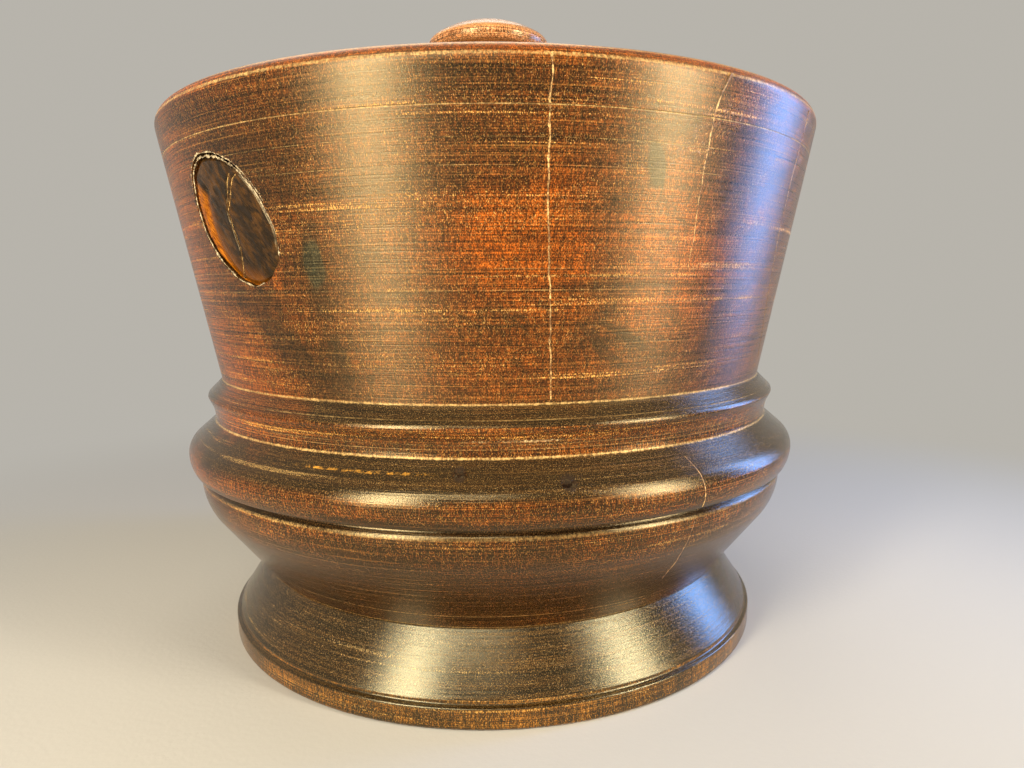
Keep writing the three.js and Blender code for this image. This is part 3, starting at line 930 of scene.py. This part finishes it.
filler, shader, coords = plain_material("crack_filler", (0.62, 0.42, 0.18, 1), 0.5)
crumbs = noise_at(coords["Object"], (1800, 1800, 1500), 3, 0.7)
stains = noise_at(coords["Object"], (120, 120, 160), 3, 0.6)
colour = tint(ramp(crumbs, 0.4, 0.62), (0.16, 0.07, 0.018, 1), (0.72, 0.45, 0.16, 1))
colour = tint(ramp(stains, 0.5, 0.66, 0, 0.7), colour, (0.1, 0.04, 0.012, 1))
wire(shader, {"Base Color": colour})
bump_up(shader, crumbs, 0.5, 0.03)


def along_path(path, step):
    """Points along a bent path at about equal steps, with the share of the way they are at."""
    legs = [(Vector(start), Vector(end)) for start, end in zip(path, path[1:])]
    total = sum((end - start).length for start, end in legs)
    points = []
    gone = 0
    for start, end in legs:
        length = (end - start).length
        count = max(1, round(length / step))
        for i in range(count):
            points.append((start.lerp(end, i / count), (gone + length * i / count) / total))
        gone += length
    return points + [(Vector(path[-1]), 1)]


def filler_strip(name, stations):
    """A strip of filler: a line is drawn along the crack, pushed inwards, and given its width.

    Each station is (point on the face, direction out, direction across, width) in mm."""
    strip = drawn_line(name, [point + out * CRACK_PROUD for point, out, across, width in stations])
    bpy.ops.mesh.select_all(action="SELECT")
    inwards = -stations[len(stations) // 2][1] * (CRACK_PROUD + CRACK_SUNK)
    bpy.ops.mesh.extrude_edges_move(TRANSFORM_OT_translate={"value": inwards * MM})
    bpy.ops.mesh.select_all(action="SELECT")
    bpy.ops.mesh.extrude_region_move(TRANSFORM_OT_translate={"value": stations[0][2] * MM})
    face_outwards()
    count = len(stations)
    for i, (point, out, across, width) in enumerate(stations):
        for layer, side in ((0, -0.5), (2, 0.5)):
            wander = noise.noise(point * 1.7 + Vector((layer, 0, 0))) * CRACK_RAGGED
            base = point + across * (side * width + wander * min(1, width * 2))
            strip.data.vertices[layer * count + i].co = (base + out * CRACK_PROUD) * MM
            strip.data.vertices[(layer + 1) * count + i].co = (base - out * CRACK_SUNK) * MM
    strip.data.materials.append(filler)
    return strip


for name, (top_width, foot_width, path) in CRACKS.items():
    stations = []
    for (azimuth, height), share in along_path(path, CRACK_STEP):
        azimuth += CRACK_WANDER * noise.noise(Vector((height * 0.35, len(name), 0)))
        point = on_jar(azimuth, height, face_radius(height))
        width = top_width + (foot_width - top_width) * share
        width *= max(0.25, 0.9 + 1.4 * noise.noise(Vector((height * 1.1, 7, len(name)))))
        stations.append((point, on_jar(azimuth, 0, 1), on_jar(azimuth + 90, 0, 1), width))
    strip = filler_strip(name, stations)
    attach(strip, "jar")


# Knot
# A dead knot, an oval plug of darker wood that dried loose in its ring of bark. Its face was
# turned with the cone, has sunk a little, and is cracked, with a groove along its lower left edge.
# That edge is painted bright amber with an orange haze inside it: a painted glow for the warm
# light the groove catches.
KNOT_SINK = 0.3
KNOT_BACK = 7
KNOT_EASE = 0.0001
KNOT_RINGS = 64
KNOT_SPOKES = 320
KNOT_EDGE_FROM = 0.93
KNOT_EDGE_WIDE = 0.07
KNOT_EDGE_DROP = 0.5
KNOT_CRACK_STEP = 0.2
KNOT_CRACK_WIDTH = 0.15
KNOT_CRACK_SOFT = 0.22
KNOT_CRACK_DEEP = 0.35
KNOT_CRACKS = (
    ((4.1, -6.9), (3.9, -5.4), (2.8, -3.3), (1.4, -0.6), (-1.4, 1.3), (-4.2, 2.8), (-6.5, 5.9), (-7, 7)),
    ((2.6, -8.2), (3, -6.9), (2.5, -4.7), (1.7, -2.1), (1.5, -0.8)),
)
AMBER_CENTRE = (-2.5, -1.2)
AMBER_INNER = (11.5, 9)
AMBER_GROOVE_SOFT = 0.09
AMBER_GROOVE_DEEP = 0.45


def near_line(point, line):
    """Distance from a point to a bent line, both flat."""
    best = 99
    for start, end in zip(line, line[1:]):
        start, end = Vector(start), Vector(end)
        share = max(0, min(1, (point - start).dot(end - start) / (end - start).length_squared))
        best = min(best, (point - start.lerp(end, share)).length)
    return best


def on_cone(along, across, lift):
    """A point over the knot on the cone's face, from its place along and across the knot."""
    flat = knot_centre + knot_along * along + knot_across * across
    reach = cone_radius(flat.z) + lift
    beside = flat.dot(knot_side)
    return knot_side * beside + knot_out * math.sqrt(reach * reach - beside * beside) + Vector((0, 0, flat.z))


knot_outline = [(0, -KNOT_BACK), (0.93, -KNOT_BACK), (0.97, -3), (0.99, -0.9)]
knot_outline += [(1 - i / KNOT_RINGS, 0) for i in range(KNOT_RINGS + 1)]
knot = turned("knot_turned", knot_outline, KNOT_EASE, KNOT_SPOKES)
for vertex in knot.data.vertices:
    x, y, level = vertex.co / MM
    uneven = uneven_edge(math.atan2(y, x))
    along = x * KNOT_LONG / 2 * uneven
    across = y * KNOT_WIDE / 2 * uneven
    if level < -0.5:
        vertex.co = on_cone(along, across, level) * MM
        continue
    amber = math.hypot(
        (along - AMBER_CENTRE[0]) / AMBER_INNER[0], (across - AMBER_CENTRE[1]) / AMBER_INNER[1]
    )
    lift = -KNOT_SINK - KNOT_EDGE_DROP * max(0, math.hypot(x, y) - KNOT_EDGE_FROM) / KNOT_EDGE_WIDE
    lift -= AMBER_GROOVE_DEEP * math.exp(-(((amber - 1) / AMBER_GROOVE_SOFT) ** 2)) * (across > 0)
    lift += 0.1 * noise.noise(Vector((along * 0.35, across * 0.9, 3)))
    lift += 0.03 * noise.noise(Vector((along, across * 2.5, 9)))
    for line in KNOT_CRACKS:
        beside = near_line(Vector((along, across)), line)
        lift -= KNOT_CRACK_DEEP * math.exp(-((beside / KNOT_CRACK_SOFT) ** 2))
    vertex.co = on_cone(along, across, lift) * MM

knot_wood, shader, coords = plain_material("knot_wood", (0.05, 0.025, 0.01, 1), 0.3)
knot_map = place_node("Mapping", {"Vector": coords["Object"]}, vector_type="TEXTURE")
wire(knot_map, {
    "Location": knot_frame.to_translation(),
    "Rotation": knot_frame.to_euler(),
    "Scale": (MM, MM, MM),
})
place = knot_map.outputs[0]
x, y, z = place_node("SeparateXYZ", {0: place}).outputs
swirl = noise_at(place, (0.22, 0.5, 0.2), 4, 0.6, warp=0.8)
strands = noise_at(place, (0.7, 5, 0.7), 3, 0.65)
uneven = centred(noise_at(place, (0.6, 0.6, 0.6), 4, 0.7), 0.12)
x = calc("SUBTRACT", x, AMBER_CENTRE[0])
outside = oval_reach(x, AMBER_INNER[0], calc("SUBTRACT", y, AMBER_CENTRE[1]), AMBER_INNER[1])
outside = plus(outside, uneven)
# Painted glow: bright amber along the lower left edge, for the warm light caught in its groove, and an orange
# haze spreading inwards from it.
lower_left = ramp(plus(y, uneven), 1.2, 3.2)
painted_glow_haze = times(ramp(outside, 0.6, 1), lower_left, 0.85)
amber = times(ramp(outside, 0.97, 1.04), lower_left)
painted_amber_glow = tint(ramp(strands, 0.35, 0.65), (0.09, 0.018, 0.001, 1), (0.4, 0.12, 0.001, 1))
colour = tint(ramp(swirl, 0.42, 0.68), (0.01, 0.005, 0.002, 1), (0.06, 0.024, 0.004, 1))
colour = tint(ramp(strands, 0.55, 0.75, 0, 0.4), colour, (0.13, 0.06, 0.015, 1))
colour = tint(painted_glow_haze, colour, (0.15, 0.045, 0.002, 1))
wire(shader, {
    "Base Color": tint(amber, colour, painted_amber_glow),
    "Roughness": ramp(strands, 0.3, 0.7, 0.22, 0.4),
    "Specular Tint": (1, 0.8, 0.5, 1),
    "Specular IOR Level": 0.4,
})
bump_up(shader, plus(times(strands, 0.6), times(swirl, 0.8)), 0.5, 0.06)
knot.data.materials.append(knot_wood)
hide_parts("knot")
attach(knot, "jar")

for number, line in enumerate(KNOT_CRACKS):
    stations = []
    across = (knot_along * 0.85 + knot_across * 0.5).normalized() if number else knot_along
    for flat, share in along_path(line, KNOT_CRACK_STEP):
        point = on_cone(flat.x, flat.y, -KNOT_SINK - 0.1)
        width = max(0.25, 0.9 + 1.2 * noise.noise(Vector((flat.x, flat.y * 1.4, 5 + number))))
        stations.append((point, knot_out, across, KNOT_CRACK_WIDTH * width))
    strip = filler_strip(f"knot_crack_{number + 1}", stations)
    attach(strip, "jar")


# Bark round the knot
# A crumbling ring of dry bark between the knot and the jar's wall, with a second strand at its
# top. Each strand is a ring that is bent round the knot's outline, thick and thin by turns.
BARK_STEPS = 256
BARK_SECTION = 10
BARK_SMOOTH = 50
BARK_CRUMBLE = 0.25
BARK_FLAT = 0.45
BARK_STRANDS = (
    {"grow": 0.15, "from": 0, "to": 360, "half": 0.2, "rough": 1.1, "lift": -0.16},
    {"grow": 0.8, "from": -112, "to": 22, "half": 0.13, "rough": 1.2, "lift": 0},
)
bark_material, shader, coords = plain_material("knot_bark", (0.5, 0.36, 0.18, 1), 0.75)
crumbs = noise_at(coords["Object"], (1500, 1500, 1500), 4, 0.7)
clumps = noise_at(coords["Object"], (280, 280, 280), 3, 0.6)
colour = tint(ramp(crumbs, 0.4, 0.62), (0.1, 0.065, 0.03, 1), (0.62, 0.5, 0.3, 1))
colour = tint(ramp(clumps, 0.54, 0.68, 0, 0.85), colour, (0.045, 0.026, 0.012, 1))
wire(shader, {"Base Color": colour})
bump_up(shader, crumbs, 0.9, 0.12)
for number, strand in enumerate(BARK_STRANDS):
    bpy.ops.object.select_all(action="DESELECT")
    bpy.ops.mesh.primitive_torus_add(
        major_segments=BARK_STEPS, minor_segments=BARK_SECTION, major_radius=1, minor_radius=0.1
    )
    bark = bpy.context.object
    bark.name = bark.data.name = f"knot_bark_{number + 1}"
    reach_round = strand["to"] - strand["from"]
    for vertex in bark.data.vertices:
        way = math.atan2(vertex.co.y, vertex.co.x)
        section = math.atan2(vertex.co.z, math.hypot(vertex.co.x, vertex.co.y) - 1)
        angle = math.radians(strand["from"]) + (way % math.tau) / math.tau * math.radians(reach_round)
        uneven = uneven_edge(angle)
        along = (KNOT_LONG / 2 * uneven + strand["grow"]) * math.cos(angle)
        across = (KNOT_WIDE / 2 * uneven + strand["grow"]) * math.sin(angle)
        rough = noise.noise(Vector((along * 0.8, across * 0.8, number)))
        crumb = noise.noise(Vector((along * 3.1, across * 3.1, 4 + number)))
        thick = strand["half"] * max(0.15, 0.75 + strand["rough"] * (1.3 * rough + 0.7 * crumb))
        if reach_round < 360:
            thick *= max(0.05, math.sin(way % math.tau / 2) ** 0.5)
        reach = thick * math.cos(section)
        outwards = Vector((math.cos(angle) / KNOT_LONG, math.sin(angle) / KNOT_WIDE)).normalized()
        along += outwards.x * (reach + BARK_CRUMBLE * crumb)
        across += outwards.y * (reach + BARK_CRUMBLE * crumb)
        lift = strand["lift"] + thick * BARK_FLAT * math.sin(section)
        vertex.co = on_cone(along, across, lift) * MM
    pick(bark)
    bpy.ops.object.mode_set(mode="EDIT")
    face_outwards()
    bpy.ops.object.shade_smooth_by_angle(angle=math.radians(BARK_SMOOTH))
    bark.data.materials.append(bark_material)
    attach(bark, "jar")


# Liner
# A cup of dull tinned sheet that is pressed into the bore, with a lapped seam up its back and a
# floor soldered in by a rounded corner. Rust has started low down, where the tobacco lay.
liner_low, liner_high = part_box("liner")
LINER_OUTER = liner_high.x / MM
LINER_TOP = liner_high.z / MM
LINER_FLOOR = liner_low.z / MM
SHEET = 1
LINER_CORNER = 3
LINER_EASE = 0.25
SEAM_WIDE = 5
SEAM_PROUD = 0.45
SEAM_EMBEDDED = 0.4
SEAM_BELOW_TOP = 0.4
SEAM_ROUND = 0.25

liner_inner = LINER_OUTER - SHEET
outer_corner = LINER_CORNER + SHEET
liner_outline = [
    (0, LINER_FLOOR),
    *arc(LINER_OUTER - outer_corner, LINER_FLOOR + outer_corner, outer_corner, -90, 0, 10),
    (LINER_OUTER, LINER_TOP),
    (liner_inner, LINER_TOP),
    *arc(liner_inner - LINER_CORNER, LINER_FLOOR + SHEET + LINER_CORNER, LINER_CORNER, 0, -90, 10),
    (0, LINER_FLOOR + SHEET),
]
liner = turned("liner_spun", liner_outline, LINER_EASE)
tin, shader, coords = plain_material("old_tin", (0.42, 0.42, 0.4, 1), 0.4)
place = coords["Object"]
tin_where = use_group(turned_place, Place=place)
brush = use_group(lathe_lines, Place=place, Radius=tin_where["Radius"], Pitch=0.5, Run=18)["Lines"]
bloom = noise_at(place, (60, 60, 60), 5, 0.65, warp=0.5)
low_down = ramp(tin_where["Height"], 70, 24, 0, 0.28)
rust = ramp(plus(noise_at(place, (150, 150, 70), 5, 0.7), low_down), 0.62, 0.8)
colour = tint(ramp(bloom, 0.35, 0.7), (0.5, 0.5, 0.47, 1), (0.3, 0.29, 0.27, 1))
wire(shader, {
    "Base Color": tint(times(rust, 0.8), colour, (0.13, 0.065, 0.025, 1)),
    "Metallic": calc("SUBTRACT", 0.95, times(rust, 0.7)),
    "Roughness": ramp(bloom, 0.3, 0.75, 0.28, 0.55),
})
bump_up(shader, brush, 0.25, 0.03)
liner.data.materials.append(tin)
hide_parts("liner")
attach(liner, "jar")

bpy.ops.object.select_all(action="DESELECT")
seam_low = LINER_FLOOR + SHEET + LINER_CORNER
seam_high = LINER_TOP - SEAM_BELOW_TOP
bpy.ops.mesh.primitive_cube_add(
    size=MM,
    location=(0, (liner_inner - SEAM_PROUD / 2 + SEAM_EMBEDDED / 2) * MM, (seam_low + seam_high) / 2 * MM),
    scale=(SEAM_WIDE, SEAM_PROUD + SEAM_EMBEDDED, seam_high - seam_low),
)
seam = bpy.context.object
seam.name = seam.data.name = "liner_seam"
bpy.ops.object.transform_apply()
bevel = seam.modifiers.new("rounded", "BEVEL")
bevel.width = SEAM_ROUND * MM
bevel.segments = 3
bpy.ops.object.modifier_apply(modifier=bevel.name)
bpy.ops.object.shade_smooth_by_angle(angle=math.radians(SMOOTH_UNDER))
seam.data.materials.append(tin)
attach(seam, "jar")


# Presser
# A loose turned disc of paler waxed wood that keeps the tobacco pressed down, with a flat land,
# a raised middle with one scored line, and a hole for its knob's tenon.
presser_low, presser_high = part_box("presser")
PRESSER_RADIUS = presser_high.x / MM
PRESSER_BASE = presser_low.z / MM
PRESSER_TOP = presser_high.z / MM
PRESSER_STEP = 1.6
PRESSER_LAND = 8
PRESSER_EDGE = 2
PRESSER_HOLE = 4.3
PRESSER_HOLE_DEPTH = 5.3
PRESSER_EASE = 0.3
LAND_GROOVE = 0.5
LAND_GROOVE_DEEP = 0.3
PRESSER_STEPS = 192
LINE_RADIUS = 30
LINE_HALF = 0.3
LINE_DEEP = 0.35

presser_land_z = PRESSER_TOP - PRESSER_STEP
land_inner = PRESSER_RADIUS - PRESSER_LAND
presser_outline = [
    (0, PRESSER_BASE),
    *arc(PRESSER_RADIUS - LINER_CORNER, PRESSER_BASE + LINER_CORNER, LINER_CORNER, -90, 0, 8),
    *arc(PRESSER_RADIUS - PRESSER_EDGE, presser_land_z - PRESSER_EDGE, PRESSER_EDGE, 0, 90, 7),
    (land_inner + LAND_GROOVE, presser_land_z),
    (land_inner + LAND_GROOVE / 2, presser_land_z - LAND_GROOVE_DEEP),
    (land_inner, presser_land_z),
    (land_inner - PRESSER_STEP, PRESSER_TOP),
    (LINE_RADIUS + LINE_HALF, PRESSER_TOP),
    (LINE_RADIUS, PRESSER_TOP - LINE_DEEP),
    (LINE_RADIUS - LINE_HALF, PRESSER_TOP),
    (PRESSER_HOLE, PRESSER_TOP),
    (PRESSER_HOLE, PRESSER_TOP - PRESSER_HOLE_DEPTH),
    (0, PRESSER_TOP - PRESSER_HOLE_DEPTH),
]
presser = turned("presser_turned", presser_outline, PRESSER_EASE, PRESSER_STEPS)
presser_wood = waxed_material(
    "presser_wood",
    Deep=(0.1, 0.04, 0.014, 1),
    Warm=(0.26, 0.105, 0.03, 1),
    End_Grain=(0.17, 0.075, 0.024, 1),
    Wax=(0.5, 0.3, 0.12, 1),
    Pore_Amount=0.4,
)[0]
presser.data.materials.append(presser_wood)
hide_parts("presser")
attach(presser, "presser")


# Presser knob
# A small button knob with a moulded base, a waisted neck and a flat dome, turned from a paler
# wood and glued in the presser by a tenon.
presser_knob_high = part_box("presser_knob")[1].z / MM - PRESSER_TOP
PRESSER_TENON = 5
PRESSER_KNOB = {"tenon_radius": 4, "base": 7.5, "neck": 4.6, "radius": 10}
KNOB_BASE_HIGH = 2.4
KNOB_DOME = 25
KNOB_SHOULDER = 2
KNOB_EASE = 0.15
PRESSER_KNOB_STEPS = 128


def knob_outline(seat, high, tenon, tenon_radius, base, neck, radius):
    """Half the outline of a button knob that stands on a seat, from its tenon to its top."""
    base_half = KNOB_BASE_HIGH / 2
    inner = radius - KNOB_SHOULDER
    top = math.asin(inner / (KNOB_DOME - KNOB_SHOULDER))
    dome_z = seat + high - KNOB_DOME
    shoulder_z = dome_z + (KNOB_DOME - KNOB_SHOULDER) * math.cos(top)
    neck_z = seat + KNOB_BASE_HIGH + 1
    reach = radius - neck - KNOB_SHOULDER
    under = shoulder_z - KNOB_SHOULDER - neck_z
    hollow = (reach * reach + under * under) / (2 * reach)
    bend = math.degrees(math.asin(under / hollow))
    top = math.degrees(top)
    return [
        (0, seat - tenon),
        (tenon_radius, seat - tenon),
        (tenon_radius, seat),
        *arc(base - base_half, seat + base_half, base_half, -90, 90, 10),
        (neck + 1, seat + KNOB_BASE_HIGH),
        *arc(neck + hollow, neck_z, hollow, 180, 180 - bend, 14),
        *arc(inner, shoulder_z, KNOB_SHOULDER, -60, 90 - top, 10),
        *arc(0, dome_z, KNOB_DOME, 90 - top, 90, 14)[1:],
    ]


presser_knob_outline = knob_outline(PRESSER_TOP, presser_knob_high, PRESSER_TENON, **PRESSER_KNOB)
presser_knob = turned("presser_knob_turned", presser_knob_outline, KNOB_EASE, PRESSER_KNOB_STEPS)
knob_wood = waxed_material(
    "knob_wood",
    Deep=(0.26, 0.085, 0.028, 1),
    Warm=(0.52, 0.205, 0.07, 1),
    End_Grain=(0.46, 0.19, 0.066, 1),
    Wax=(0.74, 0.48, 0.24, 1),
    Pore_Amount=0.42,
)[0]
presser_knob.data.materials.append(knob_wood)
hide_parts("presser_knob")
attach(presser_knob, "presser")


# Lid
# Inset in the rim on a ledge: a flat land, a bead, a low dome with two scored lines, and a
# spigot underneath that drops into the liner's mouth and is hollowed out.
lid_low, lid_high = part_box("lid")
LID_RADIUS = lid_high.x / MM
LID_TOP = lid_high.z / MM
SPIGOT_Z = lid_low.z / MM
LID_EDGE_HIGH = 5.5
LID_EDGE_ARC = 1.4
LID_LAND = 5
LID_BEAD = 2.2
LID_PAD = 12.5
LID_HOLE = 5.3
LID_SPIGOT = 55.1
LID_SPIGOT_WIDE = 7
LID_RECESS = 3.5
LID_EASE = 0.2
DOME_STEPS = 28
SCORED_STEPS = (19, 6)
SCORED_HALF = 0.3
SCORED_DEEP = 0.32
SCORED_SLOPE = 0.02

edge_top = SEAT_Z + LID_EDGE_HIGH
bead_middle = LID_RADIUS - LID_LAND - LID_BEAD
dome_low = edge_top + LID_BEAD / 3
dome_reach = bead_middle - LID_BEAD - LID_PAD
dome_high = LID_TOP - dome_low
dome_radius = (dome_reach**2 + dome_high**2) / (2 * dome_high)
dome_angle = math.degrees(math.asin(dome_reach / dome_radius))
hollow = LID_SPIGOT - LID_SPIGOT_WIDE - LID_RECESS
dome = arc(LID_PAD, LID_TOP - dome_radius, dome_radius, 90 - dome_angle, 90, DOME_STEPS)
for index in SCORED_STEPS:
    radius, height = dome[index]
    dome[index : index + 1] = [
        (radius + SCORED_HALF, height - SCORED_SLOPE),
        (radius, height - SCORED_DEEP),
        (radius - SCORED_HALF, height + SCORED_SLOPE),
    ]
lid_outline = [
    (LID_HOLE, SPIGOT_Z + LID_RECESS),
    *arc(hollow, SPIGOT_Z, LID_RECESS, 90, 0, 8),
    (LID_SPIGOT - 1, SPIGOT_Z),
    (LID_SPIGOT, SPIGOT_Z + 1),
    (LID_SPIGOT, SEAT_Z),
    (LID_RADIUS, SEAT_Z),
    *arc(LID_RADIUS - LID_EDGE_ARC, edge_top - LID_EDGE_ARC, LID_EDGE_ARC, 0, 90, 6),
    *arc(bead_middle, edge_top, LID_BEAD, 0, 150, 12),
    *dome,
    (LID_HOLE, LID_TOP),
    (LID_HOLE, SPIGOT_Z + LID_RECESS),
]
lid = turned("lid_turned", lid_outline, LID_EASE)
lid_wood = waxed_material("lid_wood", End_Grain=(0.12, 0.042, 0.012, 1), Pore_Amount=0.45)[0]
lid.data.materials.append(lid_wood)
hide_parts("lid")
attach(lid, "lid")


# Lid knob
# A broad button knob of the same shape and paler wood as the presser's, with its tenon right
# through the lid's pad.
lid_knob_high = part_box("lid_knob")[1].z / MM - LID_TOP
LID_KNOB = {"tenon_radius": 5, "base": 10.5, "neck": 6, "radius": 14.5}
LID_KNOB_STEPS = 192

lid_tenon = LID_TOP - SPIGOT_Z - LID_RECESS
lid_knob_outline = knob_outline(LID_TOP, lid_knob_high, lid_tenon, **LID_KNOB)
lid_knob = turned("lid_knob_turned", lid_knob_outline, KNOB_EASE, LID_KNOB_STEPS)
lid_knob.data.materials.append(knob_wood)
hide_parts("lid_knob")
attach(lid_knob, "lid")
